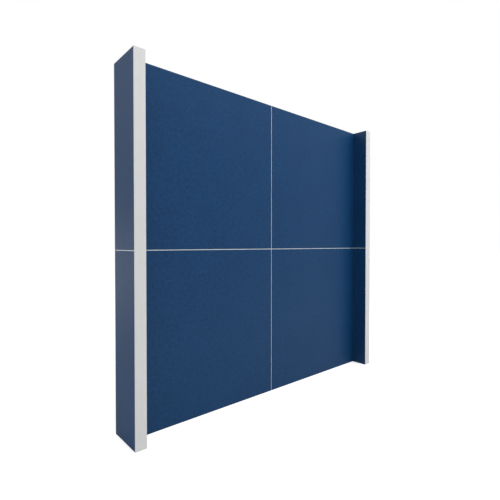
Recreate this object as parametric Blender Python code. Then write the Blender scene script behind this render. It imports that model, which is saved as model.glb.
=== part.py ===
"""Free-standing exhibition partition wall: two by two square felt-faced panels between two short wings.

Metres, +Z up. The wall runs along X and its front faces -Y. The origin is on the floor, under the middle
of the wall's bounding box. Panels stand on each other and are keyed together by strips whose tongues fill
the grooves round every panel frame. Five levelling feet carry the wall.
"""

import math

import bmesh
import bpy
from mathutils import Matrix

# Driving sizes
MODULE = 1.0  # pitch of the square panels, across and up
THICK = MODULE / 16  # thickness of every panel
WING_DEPTH = 4 * THICK  # a wing, from its front edge to its rear edge
JOINT = 0.005  # light strip that shows between two panels
GAP = 0.0003  # clearance between touching pieces
FLOOR_GAP = 0.001  # clearance under the facing boards and the end caps
MAIN_Y = THICK / 2  # middle plane of the main wall: its front face lies on the wings' middle

# Panels
SKIN = 0.004  # pressed felt facing board
SKIN_CHAMFER = 0.0008
RAIL = 0.028  # depth of a frame profile, in the plane of the panel
GROOVE_WIDE = 0.034
GROOVE_DEEP = 0.022
STILE = 0.020  # width of a wing frame's middle stile
STILE_SETBACK = 0.0005  # the stile's faces, below the frame's
CORE_CELLS = 6
CORE_STRIP = 0.003

# Strips between and around the panels
TONGUE_WIDE = GROOVE_WIDE - 2 * GAP
TONGUE_LONG = 0.020
TONGUE_WALL = 0.0025
PLATE = JOINT / 2 - GAP  # a cap, a trim, or half of a spline's web
RAIL_BASE = PLATE - GAP
SETBACK = 0.0025  # depth of the splines' and rails' edges below the felt faces
PLATE_ROUND = 0.0012  # rounding of the caps' long edges
NOTCH_EXTRA = 0.0005  # how far a notch runs past what it clears
END_NOTCH = GROOVE_DEEP + NOTCH_EXTRA - JOINT / 2  # lets a crossing tongue through a strip's end
TOP_NOTCH = JOINT / 2 + GAP  # keeps an upright's tongue under the top trims
FOOT_TOP = 0.050  # the uprights' tongues start at this height where a foot stands below them
LEDGE_LONG = 0.060  # the rails' ledges, which carry the outer ends of the lower panels
LEDGE_SIDE = 0.0005

# Levelling feet, M10 x 1.5
FOOT_RADIUS = 0.012
FOOT_HIGH = 0.006
FOOT_CHAMFER = 0.001
FOOT_CROWN = 0.008
SOCKET_RADIUS = 0.0038
SOCKET_FLOOR = 0.0025
STUD_RADIUS = 0.005
STUD_TOP = 0.044
PEG_RADIUS = SOCKET_RADIUS - GAP
NUT_ACROSS_FLATS = 0.013
NUT_LOW = FOOT_HIGH + 2 * GAP
NUT_HIGH = NUT_LOW + 0.005
BLOCK_LOW = 0.014
BLOCK_LONG = 0.036
CENTRE_BLOCK_LONG = 0.060
FOOT_INSET = 0.0155  # a wing foot's axis, in from the wing's front or rear edge
ROUND_SIDES = 24

PANEL = MODULE - JOINT
WING_PANEL = WING_DEPTH - JOINT
FRAME_THICK = THICK - 2 * (SKIN + GAP)
TOP = 2 * MODULE
STRIP_LOW = JOINT / 2
UPRIGHT = TOP - STRIP_LOW
INNER_PLATE = THICK - 2 * SETBACK
WING_X = MODULE + THICK / 2
FOOT_Y = WING_DEPTH / 2 - FOOT_INSET
SIDES = {"left": -1, "right": 1}
LEVELS = {"lower": 0, "upper": 1}

FELT_BLUE = (0.018, 0.06, 0.17)
LIGHT_GREY = (0.68, 0.68, 0.69)
CORE_BROWN = (0.42, 0.30, 0.18)
STEEL = (0.55, 0.56, 0.58)
BLACK = (0.03, 0.03, 0.03)


def clear_scene():
    for old in list(bpy.data.objects):
        bpy.data.objects.remove(old)


def make_material(name, colour, roughness, metallic=0.0):
    material = bpy.data.materials.new(name)
    material.use_nodes = True
    shader = material.node_tree.nodes["Principled BSDF"]
    shader.inputs["Base Color"].default_value = (*colour, 1.0)
    shader.inputs["Roughness"].default_value = roughness
    shader.inputs["Metallic"].default_value = metallic
    return material


def object_from(bm, name, material=None):
    bmesh.ops.recalc_face_normals(bm, faces=bm.faces)
    mesh = bpy.data.meshes.new(name)
    bm.to_mesh(mesh)
    bm.free()
    if material:
        mesh.materials.append(material)
    made = bpy.data.objects.new(name, mesh)
    bpy.context.scene.collection.objects.link(made)
    return made


def box(low, high, name="tool"):
    size = [b - a for a, b in zip(low, high)]
    middle = [(a + b) / 2 for a, b in zip(low, high)]
    bm = bmesh.new()
    matrix = Matrix.Translation(middle) @ Matrix.Diagonal((*size, 1.0))
    bmesh.ops.create_cube(bm, size=1.0, matrix=matrix)
    return object_from(bm, name)


def combine(target, tool, operation):
    """Joins the tool to the target or cuts it away, and removes the tool."""
    step = target.modifiers.new("combine", "BOOLEAN")
    step.operation = operation
    step.object = tool
    graph = bpy.context.evaluated_depsgraph_get()
    joined = bpy.data.meshes.new_from_object(target.evaluated_get(graph))
    joined.materials.clear()
    for material in target.data.materials:
        joined.materials.append(material)
    target.modifiers.clear()
    target.data = joined
    bpy.data.objects.remove(tool)


def loft(rings, name, material=None):
    """A closed solid through rings of points that correspond, with flat ends."""
    bm = bmesh.new()
    made = [[bm.verts.new(point) for point in ring] for ring in rings]
    for low, high in zip(made, made[1:]):
        for i, vertex in enumerate(low):
            before = i - 1
            bm.faces.new((low[before], vertex, high[i], high[before]))
    bm.faces.new(made[0])
    bm.faces.new(made[-1])
    return object_from(bm, name, material)


def circle(radius, z):
    turn = math.tau / ROUND_SIDES
    return [(radius * math.cos(i * turn), radius * math.sin(i * turn), z) for i in range(ROUND_SIDES)]


def hexagon(across_flats, z):
    """Points of a hexagon at the same angles as those of a circle."""
    points = []
    for i in range(ROUND_SIDES):
        angle = i * math.tau / ROUND_SIDES
        off_flat = (angle % (math.tau / 6)) - math.tau / 12
        radius = across_flats / 2 / math.cos(off_flat)
        points.append((radius * math.cos(angle), radius * math.sin(angle), z))
    return points


def shade_round(piece):
    piece.data.shade_smooth()
    piece.data.set_sharp_from_angle(angle=math.radians(35))


def place(piece, parent, location=(0, 0, 0), rotation=(0, 0, 0)):
    piece.parent = parent
    piece.location = location
    piece.rotation_euler = [math.radians(turn) for turn in rotation]
    return piece


# Panels. Each is made with its width along X and its thickness along Y, about its own middle.


def panel_frame(name, width, height, material):
    """A mitred ring of one grooved profile, given as (depth into the panel, place across its thickness)."""
    half = FRAME_THICK / 2
    lip = GROOVE_WIDE / 2
    profile = [(0, -half), (RAIL, -half), (RAIL, half), (0, half)]
    profile += [(0, lip), (GROOVE_DEEP, lip), (GROOVE_DEEP, -lip), (0, -lip)]
    bm = bmesh.new()
    corners = []
    for side, end in ((-1, -1), (1, -1), (1, 1), (-1, 1)):
        points = [(side * (width / 2 - u), v, end * (height / 2 - u)) for u, v in profile]
        corners.append([bm.verts.new(point) for point in points])
    for here, following in zip(corners, corners[1:] + corners[:1]):
        for i in range(len(profile)):
            bm.faces.new((here[i - 1], here[i], following[i], following[i - 1]))
    return object_from(bm, name, material)


def wing_frame(name, material, stile_at):
    """A narrow panel frame with a stile behind the rail that carries the main wall."""
    frame = panel_frame(name, WING_PANEL, PANEL, material)
    half_thick = FRAME_THICK / 2 - STILE_SETBACK
    half_high = PANEL / 2 - (GROOVE_DEEP + RAIL) / 2
    low = (stile_at - STILE / 2, -half_thick, -half_high)
    high = (stile_at + STILE / 2, half_thick, half_high)
    combine(frame, box(low, high), "UNION")
    return frame


def skin(name, width, level, side, material):
    """A facing board on the side of the panel given by -1 (front) or 1 (rear).

    It spans its panel's height, and runs on past the frame to the floor or to the top of the wall.
    """
    faces = sorted((side * THICK / 2, side * (THICK / 2 - SKIN)))
    low = -PANEL / 2 if level else FLOOR_GAP - MODULE / 2
    high = MODULE / 2 if level else PANEL / 2
    board = box((-width / 2, faces[0], low), (width / 2, faces[1], high), name)
    board.data.materials.append(material)
    edge = board.modifiers.new("soft edges", "BEVEL")
    edge.width = SKIN_CHAMFER
    edge.segments = 1
    return board


def lattice_core(name, material):
    """Crossed strips that fill the frame's window: a square plate with square cells cut through it."""
    side = PANEL - 2 * (RAIL + GAP)
    pitch = (side - CORE_STRIP) / CORE_CELLS
    lines = []
    for i in range(CORE_CELLS + 1):
        start = i * pitch - side / 2
        lines += [start, start + CORE_STRIP]
    bm = bmesh.new()
    grid = [[bm.verts.new((x, -FRAME_THICK / 2, z)) for z in lines] for x in lines]
    last = len(lines) - 1
    for i in range(last):
        for j in range(last):
            if i % 2 and j % 2:
                continue
            bm.faces.new((grid[i][j], grid[i + 1][j], grid[i + 1][j + 1], grid[i][j + 1]))
    swept = bmesh.ops.extrude_face_region(bm, geom=list(bm.faces))
    moved = [item for item in swept["geom"] if isinstance(item, bmesh.types.BMVert)]
    bmesh.ops.translate(bm, verts=moved, vec=(0, FRAME_THICK, 0))
    return object_from(bm, name, material)


# Strips. Each is made with its length along Z, its tongues along X and the wall's thickness along Y.


def strip(name, length, wide, material, two_sided, notches, through=(False, False), thick=PLATE):
    """A plate with one hollow tongue along +X, or a web with one on each side.

    notches holds how far the tongue is cut back at the low end and at the high end. Where through is set
    for an end, the cut goes through the plate too, which leaves a prong at each face of the wall.
    """
    low_x = -thick
    high_x = thick if two_sided else 0.0
    plate = box((low_x, -wide / 2, 0), (high_x, wide / 2, length), name)
    if wide == THICK:
        round_long_edges(plate, low_x)
    tip = high_x + TONGUE_LONG
    half = TONGUE_WIDE / 2
    start = -tip if two_sided else low_x / 2
    combine(plate, box((start, -half, 0), (tip, half, length)), "UNION")
    inner = half - TONGUE_WALL
    reach = GROOVE_WIDE / 2
    cuts = ((-length, notches[0]), (length - notches[1], 2 * length))
    for side in (-1, 1) if two_sided else (1,):
        hollow = sorted((side * (high_x + GAP), side * (tip - TONGUE_WALL)))
        combine(plate, box((hollow[0], -inner, -length), (hollow[1], inner, 2 * length)), "DIFFERENCE")
        for depth, through_plate, (low, high) in zip(notches, through, cuts):
            root = -side * GAP if through_plate else side * high_x
            cut = sorted((root, 2 * side * tip))
            if depth:
                combine(plate, box((cut[0], -reach, low), (cut[1], reach, high)), "DIFFERENCE")
    plate.data.materials.append(material)
    return plate


def round_long_edges(plate, outer_x):
    """Rounds the two long edges of the plate's outer face."""
    bm = bmesh.new()
    bm.from_mesh(plate.data)
    edges = []
    for edge in bm.edges:
        outside = all(abs(v.co.x - outer_x) < GAP for v in edge.verts)
        if outside and abs(edge.verts[0].co.y - edge.verts[1].co.y) < GAP:
            edges.append(edge)
    bmesh.ops.bevel(bm, geom=edges, offset=PLATE_ROUND, segments=3, profile=0.5, affect="EDGES")
    bm.to_mesh(plate.data)
    bm.free()


def wall_rail(name, material):
    """Upright rail on a wing, with a ledge at its foot that carries the outer end of the lower panel."""
    rail = strip(name, UPRIGHT, INNER_PLATE, material, False, (0, TOP_NOTCH), thick=RAIL_BASE)
    half = TONGUE_WIDE / 2 - LEDGE_SIDE
    tip = TONGUE_LONG - TONGUE_WALL / 2
    bottom = GAP
    top = GROOVE_DEEP - GAP
    combine(rail, box((tip, -half, bottom), (TONGUE_LONG + LEDGE_LONG, half, top)), "UNION")
    return rail


# Feet. Each is made about its own upright axis, with z = 0 on the floor.


def foot_pad(name, material):
    outer = [(FOOT_RADIUS - FOOT_CHAMFER, 0.0), (FOOT_RADIUS, FOOT_CHAMFER)]
    outer += [(FOOT_RADIUS, FOOT_HIGH - 2 * FOOT_CHAMFER), (FOOT_CROWN, FOOT_HIGH)]
    socket = [(SOCKET_RADIUS, FOOT_HIGH), (SOCKET_RADIUS, SOCKET_FLOOR)]
    pad = loft([circle(radius, z) for radius, z in outer + socket], name, material)
    shade_round(pad)
    return pad


def foot_stud(name, material):
    peg_low = SOCKET_FLOOR + GAP
    tip = STUD_RADIUS - FOOT_CHAMFER
    rings = [circle(PEG_RADIUS, peg_low), circle(PEG_RADIUS, NUT_LOW)]
    rings += [hexagon(NUT_ACROSS_FLATS, NUT_LOW), hexagon(NUT_ACROSS_FLATS, NUT_HIGH)]
    rings += [circle(STUD_RADIUS, NUT_HIGH), circle(STUD_RADIUS, STUD_TOP - FOOT_CHAMFER)]
    rings += [circle(tip, STUD_TOP)]
    stud = loft(rings, name, material)
    shade_round(stud)
    return stud


def foot_block(name, low_end, high_end, material):
    """The threaded block in a bottom groove, from low_end to high_end along Y with the stud's hole at 0."""
    half = TONGUE_WIDE / 2
    top = STRIP_LOW + GROOVE_DEEP - GAP
    block = box((-half, low_end, BLOCK_LOW), (half, high_end, top), name)
    bore = STUD_RADIUS + GAP
    combine(block, loft([circle(bore, 0), circle(bore, 2 * top)], "bore"), "DIFFERENCE")
    block.data.materials.append(material)
    return block


# The assembly


def build_main_panels(wall, frame_plastic, core_card, felt):
    for side_name, side in SIDES.items():
        for level_name, level in LEVELS.items():
            where = (side * MODULE / 2, MAIN_Y, (level + 0.5) * MODULE)
            name = f"{level_name}_{side_name}"
            place(panel_frame(f"{name}_frame", PANEL, PANEL, frame_plastic), wall, where)
            place(lattice_core(f"{name}_core", core_card), wall, where)
            place(skin(f"{name}_front_skin", PANEL, level, -1, felt), wall, where)
            place(skin(f"{name}_rear_skin", PANEL, level, 1, felt), wall, where)


def build_wings(wall, frame_plastic, felt):
    """Both wings are turned so that a panel's local -Y side faces the end of the wall."""
    for side_name, side in SIDES.items():
        for level_name, level in LEVELS.items():
            where = (side * WING_X, 0, (level + 0.5) * MODULE)
            turn = (0, 0, 90 * side)
            name = f"{side_name}_wing_{level_name}"
            frame = wing_frame(f"{name}_frame", frame_plastic, side * MAIN_Y)
            place(frame, wall, where, turn)
            place(skin(f"{name}_outer_skin", WING_PANEL, level, -1, felt), wall, where, turn)
            place(skin(f"{name}_inner_skin", WING_PANEL, level, 1, felt), wall, where, turn)


def build_strips(wall, plastic):
    both = (True, True)
    crossing = (END_NOTCH, END_NOTCH)
    notches = (FOOT_TOP - STRIP_LOW, TOP_NOTCH)
    spline = strip("centre_spline", UPRIGHT, INNER_PLATE, plastic, True, notches, (True, False))
    place(spline, wall, (0, MAIN_Y, STRIP_LOW))
    for side_name, side in SIDES.items():
        cross = strip(f"{side_name}_cross_spline", PANEL, INNER_PLATE, plastic, True, crossing, both)
        place(cross, wall, (side * MODULE / 2 - PANEL / 2, MAIN_Y, MODULE), (0, 90, 0))
        wing = strip(f"{side_name}_wing_spline", WING_PANEL, INNER_PLATE, plastic, True, crossing, both)
        place(wing, wall, (side * WING_X, WING_PANEL / 2, MODULE), (0, 90, -90))
        rail_turn = 180 if side > 0 else 0
        rail = wall_rail(f"{side_name}_wall_rail", plastic)
        place(rail, wall, (side * (MODULE - JOINT / 2 + GAP), MAIN_Y, STRIP_LOW), (0, 0, rail_turn))
        for end_name, end in (("front", -1), ("rear", 1)):
            name = f"{side_name}_{end_name}_end_cap"
            cap = strip(name, TOP - FLOOR_GAP, THICK, plastic, False, (FOOT_TOP - FLOOR_GAP, TOP_NOTCH))
            edge = end * (WING_DEPTH / 2 - PLATE)
            place(cap, wall, (side * WING_X, edge, FLOOR_GAP), (0, 0, -90 * end))


def build_top_trims(wall, plastic):
    """Each trim lies between its panel's facing boards and keys into the groove below it."""
    notches = (END_NOTCH, END_NOTCH)
    for side_name, side in SIDES.items():
        trim = strip(f"{side_name}_top_trim", PANEL, FRAME_THICK, plastic, False, notches)
        place(trim, wall, (side * MODULE / 2 - PANEL / 2, MAIN_Y, TOP - PLATE), (0, 90, 0))
        wing_trim = strip(f"{side_name}_wing_top_trim", WING_PANEL, FRAME_THICK, plastic, False, notches)
        place(wing_trim, wall, (side * WING_X, WING_PANEL / 2, TOP - PLATE), (0, 90, -90))


def build_feet(wall, plastic, steel, rubber):
    """Four feet at the ends of the wings and one under the joint in the middle of the main wall."""
    feet = [("centre", 0, MAIN_Y, 90, (-CENTRE_BLOCK_LONG / 2, CENTRE_BLOCK_LONG / 2))]
    for side_name, side in SIDES.items():
        for end_name, end in (("front", -1), ("rear", 1)):
            outer = WING_PANEL / 2 - FOOT_Y - GAP
            span = sorted((end * outer, end * (outer - BLOCK_LONG)))
            feet.append((f"{side_name}_{end_name}", side * WING_X, end * FOOT_Y, 0, span))
    for name, x, y, turn, span in feet:
        axis = bpy.data.objects.new(f"{name}_foot_axis", None)
        bpy.context.scene.collection.objects.link(axis)
        place(axis, wall, (x, y, 0))
        place(foot_block(f"{name}_foot_block", *span, plastic), axis, rotation=(0, 0, turn))
        place(foot_stud(f"{name}_foot_stud", steel), axis)
        place(foot_pad(f"{name}_foot_pad", rubber), axis)


def main():
    clear_scene()
    felt = make_material("felt", FELT_BLUE, 0.95)
    plastic = make_material("light_plastic", LIGHT_GREY, 0.5)
    frame_plastic = make_material("frame_plastic", LIGHT_GREY, 0.6)
    core_card = make_material("core_card", CORE_BROWN, 0.9)
    steel = make_material("zinc_steel", STEEL, 0.35, 1.0)
    rubber = make_material("pad_rubber", BLACK, 0.7)
    wall = bpy.data.objects.new("wall", None)
    bpy.context.scene.collection.objects.link(wall)
    build_main_panels(wall, frame_plastic, core_card, felt)
    build_wings(wall, frame_plastic, felt)
    build_strips(wall, plastic)
    build_top_trims(wall, plastic)
    build_feet(wall, plastic, steel, rubber)


main()
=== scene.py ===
"""Looks of the exhibition partition wall: felt boards, light plastic strips and levelling feet."""
import math

import bpy
import numpy as np
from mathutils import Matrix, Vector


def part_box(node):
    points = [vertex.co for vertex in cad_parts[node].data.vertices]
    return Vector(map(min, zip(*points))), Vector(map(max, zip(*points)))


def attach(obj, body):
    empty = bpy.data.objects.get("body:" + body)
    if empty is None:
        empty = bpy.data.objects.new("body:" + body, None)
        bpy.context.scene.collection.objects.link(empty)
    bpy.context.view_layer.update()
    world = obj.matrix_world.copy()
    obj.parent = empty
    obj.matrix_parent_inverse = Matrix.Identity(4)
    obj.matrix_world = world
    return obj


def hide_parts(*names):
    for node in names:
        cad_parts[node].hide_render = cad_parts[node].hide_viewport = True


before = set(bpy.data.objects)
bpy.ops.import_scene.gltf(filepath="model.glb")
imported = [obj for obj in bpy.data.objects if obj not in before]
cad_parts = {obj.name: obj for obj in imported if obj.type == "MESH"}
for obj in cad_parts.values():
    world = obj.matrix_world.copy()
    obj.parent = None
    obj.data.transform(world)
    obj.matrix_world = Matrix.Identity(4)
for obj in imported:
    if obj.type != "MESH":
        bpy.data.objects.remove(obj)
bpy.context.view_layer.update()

# Camera, in the shared frame, in metres and degrees
CAMERA_AT = (-1.8353, -1.8752, 1.0299)
CAMERA_RIGHT_OF_Y = 41.06
CAMERA_DOWN = 0.82
CAMERA_LENS = 26.85
SENSOR = 36.0

# What repeats in the wall
SIDES = {"left": -1, "right": 1}
LEVELS = ("lower", "upper")
FEET = ("centre", "left_front", "left_rear", "right_front", "right_rear")
MODULE = 1.0  # height of one panel

# Felt boards
FELT_ROUND = 0.0013  # radius of a board's soft front edges
FELT_CELL = 0.0125  # spacing of the points that carry its relief
FELT_WAVE = 0.00012  # depth of its slow waves
FELT_WAVES = 5  # how many of them cross
FELT_WAVE_PULL = 7.0  # spread of their wave numbers, in radians to a metre
FELT_PRINT = 0.00006  # how far the core's cells show through
FELT_FLAT = 0.04  # width of the flat border round it
CORE_PITCH = 0.156
FIBRE_TURNS = (10, 55, 100, 145)  # angles of the fibres, in degrees
FIBRES_PER_METRE = 1400.0
FIBRE_SLENDER = 9.0  # a fibre's length over its width

# Levelling feet, M10 x 1.5
THREAD_PITCH = 0.0015
THREAD_DEPTH = 0.0009
THREAD_STEPS = 6  # rings to one pitch
STUD_SIDES = 48
STUD_RADIUS = 0.005
STUD_TIP = 0.001
PEG_RADIUS = 0.0035
PEG_LONG = 0.0038
PEG_CHAMFER = 0.0004
NUT_HIGH = 0.005
NUT_CHAMFER = 0.0006
NUT_FACE = 0.485  # radius of the round end faces of the collar, over its width across flats
NUT_BULGE = 0.6  # share of its chamfer's reach at half its height, which makes it convex
PAD_SIDES = 96
PAD_FLUTES = 24
FLUTE_DEPTH = 0.0003
PAD_CORNER = 0.0014  # radius of the pad's lower and upper outer corners
GRIP_DEPTH = 0.0005  # depth of the grooves in its underside, and the size of its small chamfers
GRIP_HOLLOW = (0.0045, 0.0050)  # radii of the hollow in the middle of its underside
GRIP_GROOVE = (0.0066, 0.0070, 0.0080, 0.0084)  # radii of the groove round that hollow
CROWN_EDGE = 0.0083
CROWN_TOP = 0.0078
CROWN_CHAMFER = 0.0002
SOCKET_RADIUS = 0.0038
SOCKET_FLOOR = 0.0025

# Screws that hold the wall rails to the wings
SCREW_HEIGHTS = (0.12, 0.50, 0.88)  # above the foot of each panel
RAIL_SEAT = 0.0022  # from a rail's outer face to the floor of its hollow tongue
SCREW_SIDES = 18
SCREW_RADIUS = 0.0021
SCREW_LONG = 0.032
SCREW_PITCH = 0.0018
SCREW_DEPTH = 0.0004
SCREW_HEAD = 0.004
SCREW_HEAD_HIGH = 0.0024
SCREW_SOCKET = 0.0028  # across the flats of its hexagon socket
# The head's outline from its rim to its seat, as shares of its height and of its radius
SCREW_DOME = ((1.0, 0.62), (0.9, 0.82), (0.62, 0.97), (0.2, 1.0), (0.0, 0.98))
# The point's outline, as shares of the screw's length and of its radius
SCREW_POINT = ((0.9, 0.8), (1.0, 0.1))
SCREW_THREADED = 0.88  # share of its length that is threaded

# Sharp edges of the CAD pieces, and the angles below which edges are shaded smooth, in degrees
HAIRLINE = 0.0003
HAIRLINE_ANGLE = 40
SMOOTH_METAL = 40
SMOOTH_SOFT = 50

# Colours, as linear red, green and blue
FELT_DARK = (0.0031, 0.0324, 0.0979)
FELT_LIGHT = (0.0063, 0.0607, 0.1742)
FELT_GREENER = (0.0010, 0.0606, 0.1356)
FELT_REDDER = (0.0125, 0.0419, 0.1529)
CAP_GREY = (0.72, 0.72, 0.725)
JOINT_WHITE = (0.83, 0.89, 0.93)
FRAME_GREY = (0.62, 0.62, 0.63)
CARD_DARK = (0.30, 0.19, 0.10)
CARD_LIGHT = (0.50, 0.35, 0.20)
NYLON_DARK = (0.095, 0.097, 0.10)
NYLON_LIGHT = (0.14, 0.142, 0.147)
ZINC_DARK = (0.50, 0.52, 0.55)
ZINC_LIGHT = (0.66, 0.67, 0.68)
RUBBER_DARK = (0.022, 0.022, 0.023)
RUBBER_LIGHT = (0.055, 0.053, 0.05)

# Stage
AMBIENT = 0.452
FLOOR_DARK = (0.69, 0.69, 0.69)
FLOOR_LIGHT = (0.71, 0.71, 0.71)
FLOOR_GLOW = 0.62
FLOOR_REACH = 60.0
# Soft boxes: place, aim, size in metres, watts, and whether they show in glossy surfaces
SOFT_BOXES = {
    "front": ((-0.5, -3.2, 4.35), (-0.1, 0.0, 1.5), (4.6, 1.6), 55.0, False),
    "high": ((3.2, -3.4, 4.4), (0.3, 0.0, 1.4), (3.0, 2.0), 101.0, False),
    "right": ((5.6, -3.2, 1.8), (0.4, 0.0, 1.1), (4.0, 5.0), 10.0, True),
    "left": ((-5.0, 2.5, 3.2), (-1.0, 0.0, 1.0), (3.0, 3.0), 56.0, True),
    "low": ((-2.6, 3.2, 0.7), (-1.0, 0.0, 0.3), (2.5, 1.2), 6.5, True),
}
SUN_FROM = (0.0, -3.0, 5.5)
SUN_STRENGTH = 0.55
SUN_ANGLE = 50.0


# Materials


class Shader:
    """A Principled material under construction, with its nodes read in the shared frame's metres."""

    def __init__(self, name, roughness, metallic=0.0):
        self.material = bpy.data.materials.new(name)
        self.material.use_nodes = True
        self.tree = self.material.node_tree
        self.main = self.tree.nodes["Principled BSDF"]
        self.main.inputs["Roughness"].default_value = roughness
        self.main.inputs["Metallic"].default_value = metallic
        self.place = self.node("ShaderNodeTexCoord").outputs["Object"]

    def node(self, kind, **settings):
        made = self.tree.nodes.new(kind)
        for name, value in settings.items():
            setattr(made, name, value)
        return made

    def link(self, source, target):
        self.tree.links.new(source, target)

    def set(self, **values):
        for name, value in values.items():
            self.main.inputs[name.replace("_", " ")].default_value = value

    def stretched(self, stretch):
        """The place, scaled by a different factor along each axis."""
        mapping = self.node("ShaderNodeMapping")
        mapping.inputs["Scale"].default_value = stretch
        self.link(self.place, mapping.inputs["Vector"])
        return mapping.outputs["Vector"]

    def noise(self, per_metre, detail=3.0, roughness=0.55, stretch=None):
        made = self.node("ShaderNodeTexNoise")
        made.inputs["Scale"].default_value = per_metre
        made.inputs["Detail"].default_value = detail
        made.inputs["Roughness"].default_value = roughness
        self.link(self.stretched(stretch) if stretch else self.place, made.inputs["Vector"])
        return made.outputs["Fac"]

    def on_board(self):
        """The place on any upright board, as (along, up, 0)."""
        parts = self.node("ShaderNodeSeparateXYZ")
        self.link(self.place, parts.inputs["Vector"])
        made = self.node("ShaderNodeCombineXYZ")
        self.link(self.math("ADD", parts.outputs["X"], parts.outputs["Y"]), made.inputs["X"])
        self.link(parts.outputs["Z"], made.inputs["Y"])
        return made.outputs["Vector"]

    def strands(self, board, turn):
        """Noise drawn out into fibres that lie at an angle, in degrees, on an upright board."""
        mapping = self.node("ShaderNodeMapping", vector_type="TEXTURE")
        mapping.inputs["Rotation"].default_value = (0, 0, math.radians(turn))
        mapping.inputs["Scale"].default_value = (FIBRE_SLENDER, 1, 1)
        self.link(board, mapping.inputs["Vector"])
        made = self.node("ShaderNodeTexNoise")
        made.inputs["Scale"].default_value = FIBRES_PER_METRE
        made.inputs["Detail"].default_value = 2.0
        made.inputs["Distortion"].default_value = 0.8
        self.link(mapping.outputs["Vector"], made.inputs["Vector"])
        return made.outputs["Fac"]

    def math(self, operation, first, second, third=None):
        made = self.node("ShaderNodeMath", operation=operation)
        for slot, value in enumerate((first, second, third)):
            if value is None:
                continue
            if isinstance(value, (int, float)):
                made.inputs[slot].default_value = value
            else:
                self.link(value, made.inputs[slot])
        return made.outputs[0]

    def spread(self, value, low, high, to_low=0.0, to_high=1.0):
        made = self.node("ShaderNodeMapRange")
        for name, number in zip(("From Min", "From Max", "To Min", "To Max"), (low, high, to_low, to_high)):
            made.inputs[name].default_value = number
        self.link(value, made.inputs["Value"])
        return made.outputs[0]

    def mix(self, share, first, second, blend="MIX"):
        made = self.node("ShaderNodeMix", data_type="RGBA", blend_type=blend)
        for slot, value in ((0, share), (6, first), (7, second)):
            if isinstance(value, (float, int)):
                made.inputs[slot].default_value = value
            elif isinstance(value, tuple):
                made.inputs[slot].default_value = (*value, 1.0)
            else:
                self.link(value, made.inputs[slot])
        return made.outputs[2]

    def colour(self, source):
        self.link(source, self.main.inputs["Base Color"])

    def roughness(self, source):
        self.link(source, self.main.inputs["Roughness"])

    def bump(self, height, distance, strength=1.0):
        made = self.node("ShaderNodeBump")
        made.inputs["Distance"].default_value = distance
        made.inputs["Strength"].default_value = strength
        self.link(height, made.inputs["Height"])
        self.link(made.outputs["Normal"], self.main.inputs["Normal"])


def felt_material():
    """Dark blue needled felt: fibres that cross at all angles, a mottled pile and slow dye clouds."""
    felt = Shader("felt_blue", 0.45)
    felt.set(Specular_IOR_Level=0.27)
    board = felt.on_board()
    fibres = felt.strands(board, FIBRE_TURNS[0])
    for turn in FIBRE_TURNS[1:]:
        fibres = felt.math("MAXIMUM", fibres, felt.strands(board, turn))
    pile = felt.noise(120.0, detail=2.0, roughness=0.6)
    lumps = felt.noise(48.0, detail=2.0, roughness=0.5)
    clouds = felt.noise(5.5, detail=3.0, roughness=0.5)
    mottle = felt.math("MULTIPLY_ADD", pile, 0.62, felt.math("MULTIPLY", lumps, 0.38))
    tone = felt.math("MULTIPLY_ADD", mottle, 0.88, felt.math("MULTIPLY", clouds, 0.12))
    dyed = felt.mix(felt.spread(tone, 0.385, 0.615), FELT_DARK, FELT_LIGHT)
    hue = felt.spread(felt.noise(95.0, detail=2.0, roughness=0.5, stretch=(1.0, 1.0, 1.3)), 0.35, 0.65)
    dyed = felt.mix(0.22, dyed, felt.mix(hue, FELT_GREENER, FELT_REDDER))
    felt.colour(felt.mix(1.0, dyed, felt.spread(fibres, 0.50, 0.72, 0.73, 1.36), "MULTIPLY"))
    felt.roughness(felt.spread(mottle, 0.38, 0.62, 0.40, 0.50))
    felt.bump(felt.math("MULTIPLY_ADD", fibres, 0.6, felt.math("MULTIPLY", mottle, 0.4)), 0.0006, 0.7)
    return felt.material


def plastic_material(name, colour, along, roughness=0.42):
    """Satin extruded plastic, with faint drawing lines that run along one axis."""
    plastic = Shader(name, roughness)
    plastic.set(IOR=1.49)
    drawn = tuple(1.0 if axis == along else 40.0 for axis in "XYZ")
    lines = plastic.noise(18.0, detail=3.0, roughness=0.6, stretch=drawn)
    haze = plastic.noise(14.0, detail=4.0, roughness=0.55)
    shade = tuple(channel * 0.955 for channel in colour)
    tone = plastic.math("MULTIPLY_ADD", lines, 0.45, plastic.math("MULTIPLY", haze, 0.55))
    plastic.colour(plastic.mix(plastic.spread(tone, 0.35, 0.65), shade, colour))
    plastic.roughness(plastic.spread(haze, 0.3, 0.7, roughness - 0.05, roughness + 0.09))
    plastic.bump(lines, 0.00006, 0.5)
    return plastic.material


def card_material():
    """Brown corrugated card, with the flutes showing through its liner."""
    card = Shader("corrugated_card", 0.9)
    flutes = card.node("ShaderNodeTexWave", bands_direction="X")
    flutes.inputs["Scale"].default_value = 45.0
    flutes.inputs["Distortion"].default_value = 0.4
    card.link(card.place, flutes.inputs["Vector"])
    fibres = card.noise(420.0, detail=4.0, roughness=0.7, stretch=(1.0, 1.0, 5.0))
    tone = card.math("MULTIPLY_ADD", flutes.outputs["Fac"], 0.3, card.math("MULTIPLY", fibres, 0.7))
    card.colour(card.mix(card.spread(tone, 0.3, 0.7), CARD_DARK, CARD_LIGHT))
    card.bump(tone, 0.0006, 0.6)
    return card.material


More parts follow.
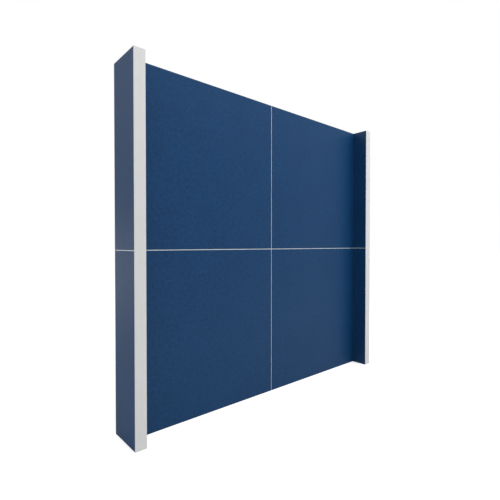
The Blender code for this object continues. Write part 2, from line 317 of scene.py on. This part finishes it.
def nylon_material():
    """Dark moulded nylon with a fine grain."""
    nylon = Shader("nylon_dark", 0.5)
    grain = nylon.noise(900.0, detail=3.0, roughness=0.6)
    haze = nylon.noise(60.0, detail=3.0, roughness=0.5)
    nylon.colour(nylon.mix(nylon.spread(haze, 0.3, 0.7), NYLON_DARK, NYLON_LIGHT))
    nylon.roughness(nylon.spread(haze, 0.3, 0.7, 0.44, 0.58))
    nylon.bump(grain, 0.00012, 0.5)
    return nylon.material


def zinc_material():
    """Zinc-plated steel, faintly brushed and stained."""
    zinc = Shader("zinc_plated", 0.3, 1.0)
    brushed = zinc.noise(700.0, detail=4.0, roughness=0.65, stretch=(1.0, 1.0, 0.2))
    stain = zinc.noise(120.0, detail=4.0, roughness=0.6)
    zinc.colour(zinc.mix(zinc.spread(stain, 0.3, 0.7), ZINC_DARK, ZINC_LIGHT))
    zinc.roughness(zinc.spread(brushed, 0.3, 0.7, 0.24, 0.42))
    zinc.bump(brushed, 0.00005, 0.4)
    return zinc.material


def rubber_material():
    """Black rubber with a fine grain and a little dust."""
    rubber = Shader("pad_rubber", 0.75)
    grain = rubber.noise(1400.0, detail=3.0, roughness=0.6)
    dust = rubber.noise(90.0, detail=4.0, roughness=0.6)
    rubber.colour(rubber.mix(rubber.spread(dust, 0.4, 0.75), RUBBER_DARK, RUBBER_LIGHT))
    rubber.roughness(rubber.spread(dust, 0.3, 0.7, 0.66, 0.86))
    rubber.bump(grain, 0.00015, 0.6)
    return rubber.material


# Pieces


def piece_from(name, vertices, faces, material, smooth_under=None):
    """A mesh piece, shaded smooth across edges that turn by less than smooth_under degrees."""
    mesh = bpy.data.meshes.new(name)
    mesh.from_pydata([tuple(v) for v in vertices], [], faces)
    mesh.validate()
    mesh.materials.append(material)
    made = bpy.data.objects.new(name, mesh)
    bpy.context.scene.collection.objects.link(made)
    if smooth_under:
        mesh.shade_smooth()
        mesh.set_sharp_from_angle(angle=math.radians(smooth_under))
    return made


def edge_steps(length):
    """Places across a board: close together round its soft edges, and evenly spaced between them."""
    arc = [FELT_ROUND * (1 - math.cos(math.radians(turn))) for turn in (0, 22.5, 45, 67.5, 90)]
    count = math.ceil((length - 2 * FELT_ROUND) / FELT_CELL)
    even = np.linspace(FELT_ROUND, length - FELT_ROUND, count + 1)[1:-1]
    return np.array(arc + list(even) + [length - place for place in reversed(arc)])


def rounding(places, length):
    """How far the face lies below its plane at each place, from the soft edges alone."""
    near = np.minimum(places, length - places)
    inside = np.clip(FELT_ROUND - near, 0, FELT_ROUND)
    return FELT_ROUND - np.sqrt(np.maximum(FELT_ROUND**2 - inside**2, 0))


def felt_board(node, across, outward, seed, material):
    """A facing board in the place of a CAD skin. across is 0 or 1, the axis of the skin's thickness."""
    low, high = (np.array(corner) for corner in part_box(node))
    wide = 1 - across
    u = edge_steps(high[wide] - low[wide])
    v = edge_steps(high[2] - low[2])
    grid_u, grid_v = np.meshgrid(u, v, indexing="ij")
    drop = np.maximum(rounding(grid_u, u[-1]), rounding(grid_v, v[-1]))
    random = np.random.default_rng(seed)
    to_edge = np.minimum(np.minimum(grid_u, u[-1] - grid_u), np.minimum(grid_v, v[-1] - grid_v))
    inner = np.clip(to_edge / FELT_FLAT, 0, 1)
    wave = np.zeros_like(grid_u)
    for _ in range(FELT_WAVES):
        pull = random.normal(0, FELT_WAVE_PULL, 2)
        wave += np.sin(grid_u * pull[0] + grid_v * pull[1] + random.uniform(0, math.tau)) / FELT_WAVES
    cells = np.sin(math.pi * grid_u / CORE_PITCH) ** 2 * np.sin(math.pi * grid_v / CORE_PITCH) ** 2
    drop += inner * (FELT_WAVE * (1 + wave) + FELT_PRINT * cells)
    points = np.zeros((*grid_u.shape, 3))
    points[..., wide] = low[wide] + grid_u
    points[..., 2] = low[2] + grid_v
    face = high[across] if outward > 0 else low[across]
    back = low[across] if outward > 0 else high[across]
    points[..., across] = face - outward * drop
    rows, columns = grid_u.shape
    vertices = points.reshape(-1, 3)
    flip = (outward > 0) == (across == 1)
    faces = []
    for i in range(rows - 1):
        for j in range(columns - 1):
            corner = i * columns + j
            quad = (corner, corner + columns, corner + columns + 1, corner + 1)
            faces.append(quad[::-1] if flip else quad)
    rim = [i * columns for i in range(rows)]
    rim += [(rows - 1) * columns + j for j in range(1, columns)]
    rim += [i * columns + columns - 1 for i in range(rows - 2, -1, -1)]
    rim += [j for j in range(columns - 2, 0, -1)]
    back_points = vertices[rim].copy()
    back_points[:, across] = back
    first = len(vertices)
    count = len(rim)
    for k in range(count):
        after = (k + 1) % count
        side = (rim[k], first + k, first + after, rim[after])
        faces.append(side[::-1] if flip else side)
    behind = tuple(range(first, first + count))
    faces.append(behind if flip else behind[::-1])
    board = piece_from(f"{node}_felt", np.vstack([vertices, back_points]), faces, material, SMOOTH_SOFT)
    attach(board, "wall")
    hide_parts(node)
    return board


def make_felt(material):
    seed = 0
    for side_name, side in SIDES.items():
        for level in LEVELS:
            felt_board(f"{level}_{side_name}_front_skin", 1, -1, seed, material)
            felt_board(f"{level}_{side_name}_rear_skin", 1, 1, seed + 1, material)
            felt_board(f"{side_name}_wing_{level}_outer_skin", 0, side, seed + 2, material)
            felt_board(f"{side_name}_wing_{level}_inner_skin", 0, -side, seed + 3, material)
            seed += 4


def hexagon(across_flats, angles):
    return across_flats / 2 / np.cos(angles % (math.tau / 6) - math.tau / 12)


def turn_angles(sides):
    return np.arange(sides) * math.tau / sides


def turned(rings, sides):
    """Points and faces of a closed solid about +Z with flat ends, through rings of (height, radii).

    A ring's radii are one number, or one number for each side.
    """
    angles = turn_angles(sides)
    points = []
    for height, radii in rings:
        reach = np.broadcast_to(radii, sides)
        level = np.full(sides, height)
        points.append(np.column_stack([reach * np.cos(angles), reach * np.sin(angles), level]))
    last = (len(rings) - 1) * sides
    faces = [tuple(range(sides))[::-1], tuple(range(last, last + sides))]
    for low in range(0, last, sides):
        for k in range(sides):
            after = (k + 1) % sides
            faces.append((low + k, low + after, low + sides + after, low + sides + k))
    return np.vstack(points), faces


def thread(low, high, radius, pitch, depth, sides):
    """Rings of a right-hand thread that fades out at both ends.

    Its crests and roots are flat and a tenth of the pitch wide, with straight flanks between them.
    """
    angles = turn_angles(sides)
    rings = []
    for height in np.arange(low, high, pitch / THREAD_STEPS):
        turn = (height / pitch - angles / math.tau) % 1.0
        valley = np.clip(1.25 * np.abs(2 * turn - 1) - 0.125, 0, 1)
        fade = min(1.0, (height - low) / pitch, (high - height) / pitch)
        rings.append((height, radius - depth * valley * fade))
    return rings


def corner(radius, height, size, start):
    """Rings of a quarter round about (radius, height), from start degrees up a quarter turn."""
    turns = np.radians(start + np.linspace(0, 90, 5))
    return [(height + size * math.sin(turn), radius + size * math.cos(turn)) for turn in turns]


def foot_axis(node):
    """The lowest and highest corners of a foot's part, and the point of its axis on the floor."""
    low, high = (np.array(corner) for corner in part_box(node))
    middle = (low + high) / 2
    return low, high, np.array([middle[0], middle[1], 0.0])


def make_stud(foot, material):
    """Levelling stud: a plain peg, a hexagon collar with chamfered corners and an M10 thread."""
    low, high, axis = foot_axis(f"{foot}_foot_stud")
    flats = high[1] - low[1]
    angles = turn_angles(STUD_SIDES)
    nut_low = low[2] + PEG_LONG
    nut_top = nut_low + NUT_HIGH
    rings = [(low[2], PEG_RADIUS - PEG_CHAMFER), (low[2] + PEG_CHAMFER, PEG_RADIUS), (nut_low, PEG_RADIUS)]
    steps = [(nut_low, 0.0), (nut_low + NUT_CHAMFER / 2, NUT_BULGE), (nut_low + NUT_CHAMFER, 1.0)]
    steps += [(nut_top - NUT_CHAMFER, 1.0), (nut_top - NUT_CHAMFER / 2, NUT_BULGE), (nut_top, 0.0)]
    inner = flats * NUT_FACE
    outer = hexagon(flats, 0.0)
    for height, share in steps:
        rings.append((height, np.minimum(hexagon(flats, angles), inner + share * (outer - inner))))
    rings.append((nut_top, STUD_RADIUS))
    shank_top = high[2] - STUD_TIP
    rings += thread(nut_top + STUD_TIP / 2, shank_top, STUD_RADIUS, THREAD_PITCH, THREAD_DEPTH, STUD_SIDES)
    rings += [(shank_top, STUD_RADIUS), (high[2], STUD_RADIUS - THREAD_DEPTH)]
    points, faces = turned(rings, STUD_SIDES)
    stud = piece_from(f"{foot}_stud_threaded", points + axis, faces, material, SMOOTH_METAL)
    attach(stud, f"{foot}_stud")
    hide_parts(f"{foot}_foot_stud")


def make_pad(foot, material):
    """Rubber pad: grip grooves below, a fluted rim, a sloping crown and a socket for the stud's peg."""
    low, high, axis = foot_axis(f"{foot}_foot_pad")
    radius = (high[0] - low[0]) / 2
    top = high[2]
    rings = list(zip((GRIP_DEPTH, 0.0), GRIP_HOLLOW))
    rings += zip((0.0, GRIP_DEPTH, GRIP_DEPTH, 0.0), GRIP_GROOVE)
    rings += corner(radius - PAD_CORNER, PAD_CORNER, PAD_CORNER, -90)
    flutes = FLUTE_DEPTH * (0.5 + 0.5 * np.cos(turn_angles(PAD_SIDES) * PAD_FLUTES))
    rings += [(PAD_CORNER + GRIP_DEPTH, radius - flutes), (top / 2, radius - flutes)]
    rings += corner(radius - PAD_CORNER, top / 2 + GRIP_DEPTH, PAD_CORNER - FLUTE_DEPTH, 0)
    rings += [(top - CROWN_CHAMFER, CROWN_EDGE), (top, CROWN_TOP), (top, SOCKET_RADIUS + GRIP_DEPTH)]
    rings += [(top - GRIP_DEPTH, SOCKET_RADIUS), (SOCKET_FLOOR, SOCKET_RADIUS)]
    points, faces = turned(rings, PAD_SIDES)
    pad = piece_from(f"{foot}_pad_moulded", points + axis, faces, material, SMOOTH_SOFT)
    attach(pad, f"{foot}_pad")
    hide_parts(f"{foot}_foot_pad")


def screw_rings():
    """A pan-head screw from the floor of its hexagon socket, down its head and to its tip along +Z."""
    angles = turn_angles(SCREW_SIDES)
    socket = hexagon(SCREW_SOCKET, angles)
    top = -SCREW_HEAD_HIGH
    rings = [(top / 2, socket), (top, socket)]
    rings += [(top * height, SCREW_HEAD * reach) for height, reach in SCREW_DOME]
    rings += [(0.0, SCREW_RADIUS)]
    threaded = SCREW_LONG * SCREW_THREADED
    rings += thread(SCREW_DEPTH, threaded, SCREW_RADIUS, SCREW_PITCH, SCREW_DEPTH, SCREW_SIDES)
    rings += [(SCREW_LONG * height, SCREW_RADIUS * reach) for height, reach in SCREW_POINT]
    return rings


def make_screws(side_name, side, material):
    """The screws of one rail: heads in its hollow tongue, and threads in the wing's stiles."""
    low, high = (np.array(corner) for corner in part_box(f"{side_name}_wall_rail"))
    outer = max(abs(low[0]), abs(high[0]))
    points, faces = turned(screw_rings(), SCREW_SIDES)
    turned_over = np.column_stack([side * points[:, 2], points[:, 1], -side * points[:, 0]])
    all_points = []
    all_faces = []
    for level in range(len(LEVELS)):
        for height in SCREW_HEIGHTS:
            first = len(all_points) * len(points)
            seat = (side * (outer - RAIL_SEAT), (low[1] + high[1]) / 2, level * MODULE + height)
            all_points.append(turned_over + seat)
            all_faces += [tuple(first + k for k in face) for face in faces]
    screws = piece_from(f"{side_name}_rail_screws", np.vstack(all_points), all_faces, material, SMOOTH_METAL)
    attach(screws, "wall")


def assign(node, material):
    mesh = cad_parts[node].data
    mesh.materials.clear()
    mesh.materials.append(material)


def soften(node):
    """A hairline rounding on a CAD piece's sharp edges."""
    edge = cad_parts[node].modifiers.new("hairline", "BEVEL")
    edge.width = HAIRLINE
    edge.segments = 2
    edge.limit_method = "ANGLE"
    edge.angle_limit = math.radians(HAIRLINE_ANGLE)


def finish_cad():
    """Materials and hairline roundings for the CAD pieces that stay."""
    joint = {axis: plastic_material(f"joint_plastic_{axis}", JOINT_WHITE, axis) for axis in "XYZ"}
    cap = {axis: plastic_material(f"cap_plastic_{axis}", CAP_GREY, axis) for axis in "XYZ"}
    frame_plastic = plastic_material("frame_plastic", FRAME_GREY, "Z", 0.5)
    card = card_material()
    nylon = nylon_material()
    chosen = {"centre_spline": joint["Z"]}
    for side in SIDES:
        chosen[f"{side}_wall_rail"] = joint["Z"]
        chosen[f"{side}_cross_spline"] = joint["X"]
        chosen[f"{side}_wing_spline"] = joint["Y"]
        chosen[f"{side}_front_end_cap"] = cap["Z"]
        chosen[f"{side}_rear_end_cap"] = cap["Z"]
        chosen[f"{side}_top_trim"] = cap["X"]
        chosen[f"{side}_wing_top_trim"] = cap["Y"]
        for level in LEVELS:
            chosen[f"{level}_{side}_frame"] = frame_plastic
            chosen[f"{side}_wing_{level}_frame"] = frame_plastic
            chosen[f"{level}_{side}_core"] = card
    for foot in FEET:
        chosen[f"{foot}_foot_block"] = nylon
    for node, material in chosen.items():
        assign(node, material)
        if material is not card:
            soften(node)


def make_metal_and_rubber():
    zinc = zinc_material()
    rubber = rubber_material()
    for foot in FEET:
        make_stud(foot, zinc)
        make_pad(foot, rubber)
    for side_name, side in SIDES.items():
        make_screws(side_name, side, zinc)


# Stage


def make_camera():
    data = bpy.data.cameras.new("camera")
    data.lens = CAMERA_LENS
    data.sensor_width = SENSOR
    camera = bpy.data.objects.new("camera", data)
    camera.location = CAMERA_AT
    camera.rotation_euler = (math.radians(90 - CAMERA_DOWN), 0, math.radians(-CAMERA_RIGHT_OF_Y))
    bpy.context.scene.collection.objects.link(camera)
    bpy.context.scene.camera = camera


def aimed(data, name, at, aim):
    """A light at one point that shines towards another."""
    light = bpy.data.objects.new(name, data)
    light.location = at
    way = np.array(aim) - np.array(at)
    flat = math.hypot(way[0], way[1])
    light.rotation_euler = (math.atan2(flat, -way[2]), 0, math.atan2(-way[0], way[1]))
    bpy.context.scene.collection.objects.link(light)
    return light


def soft_box(name, at, aim, size, watts, gleams):
    """A rectangular light. One that doesn't gleam lights the surfaces and isn't mirrored in them."""
    data = bpy.data.lights.new(name, "AREA")
    data.shape = "RECTANGLE"
    data.size, data.size_y = size
    data.energy = watts
    light = aimed(data, name, at, aim)
    light.visible_camera = False
    light.visible_glossy = gleams


def soft_sun(name, at, strength, angle):
    data = bpy.data.lights.new(name, "SUN")
    data.energy = strength
    data.angle = math.radians(angle)
    aimed(data, name, at, (0, 0, 0))


def floor_material():
    """White paper that stays white to the camera and still takes soft shadows."""
    floor = Shader("pale_floor", 0.9)
    drift = floor.noise(0.7, detail=3.0, roughness=0.5)
    floor.colour(floor.mix(floor.spread(drift, 0.3, 0.7), FLOOR_DARK, FLOOR_LIGHT))
    floor.set(Specular_IOR_Level=0.0, Emission_Color=(1, 1, 1, 1))
    path = floor.node("ShaderNodeLightPath")
    glow = floor.math("MULTIPLY", path.outputs["Is Camera Ray"], FLOOR_GLOW)
    floor.link(glow, floor.main.inputs["Emission Strength"])
    return floor.material


def make_stage():
    """The floor, a white surround that is dimmer as a light than to the camera, and the lights."""
    corners = [(-FLOOR_REACH, -FLOOR_REACH, 0), (FLOOR_REACH, -FLOOR_REACH, 0)]
    corners += [(FLOOR_REACH, FLOOR_REACH, 0), (-FLOOR_REACH, FLOOR_REACH, 0)]
    floor = piece_from("floor", corners, [(0, 1, 2, 3)], floor_material())
    world = bpy.data.worlds.new("studio")
    world.use_nodes = True
    bpy.context.scene.world = world
    tree = world.node_tree
    background = tree.nodes["Background"]
    path = tree.nodes.new("ShaderNodeLightPath")
    level = tree.nodes.new("ShaderNodeMix")
    level.inputs[2].default_value = AMBIENT
    level.inputs[3].default_value = 1.0
    tree.links.new(path.outputs["Is Camera Ray"], level.inputs[0])
    tree.links.new(level.outputs[0], background.inputs["Strength"])
    background.inputs["Color"].default_value = (1, 1, 1, 1)
    for name, (at, aim, size, watts, gleams) in SOFT_BOXES.items():
        soft_box(name, at, aim, size, watts, gleams)
    soft_sun("sun", SUN_FROM, SUN_STRENGTH, SUN_ANGLE)
    bpy.context.scene.view_settings.view_transform = "Standard"


make_camera()
make_stage()
make_felt(felt_material())
finish_cad()
make_metal_and_rubber()
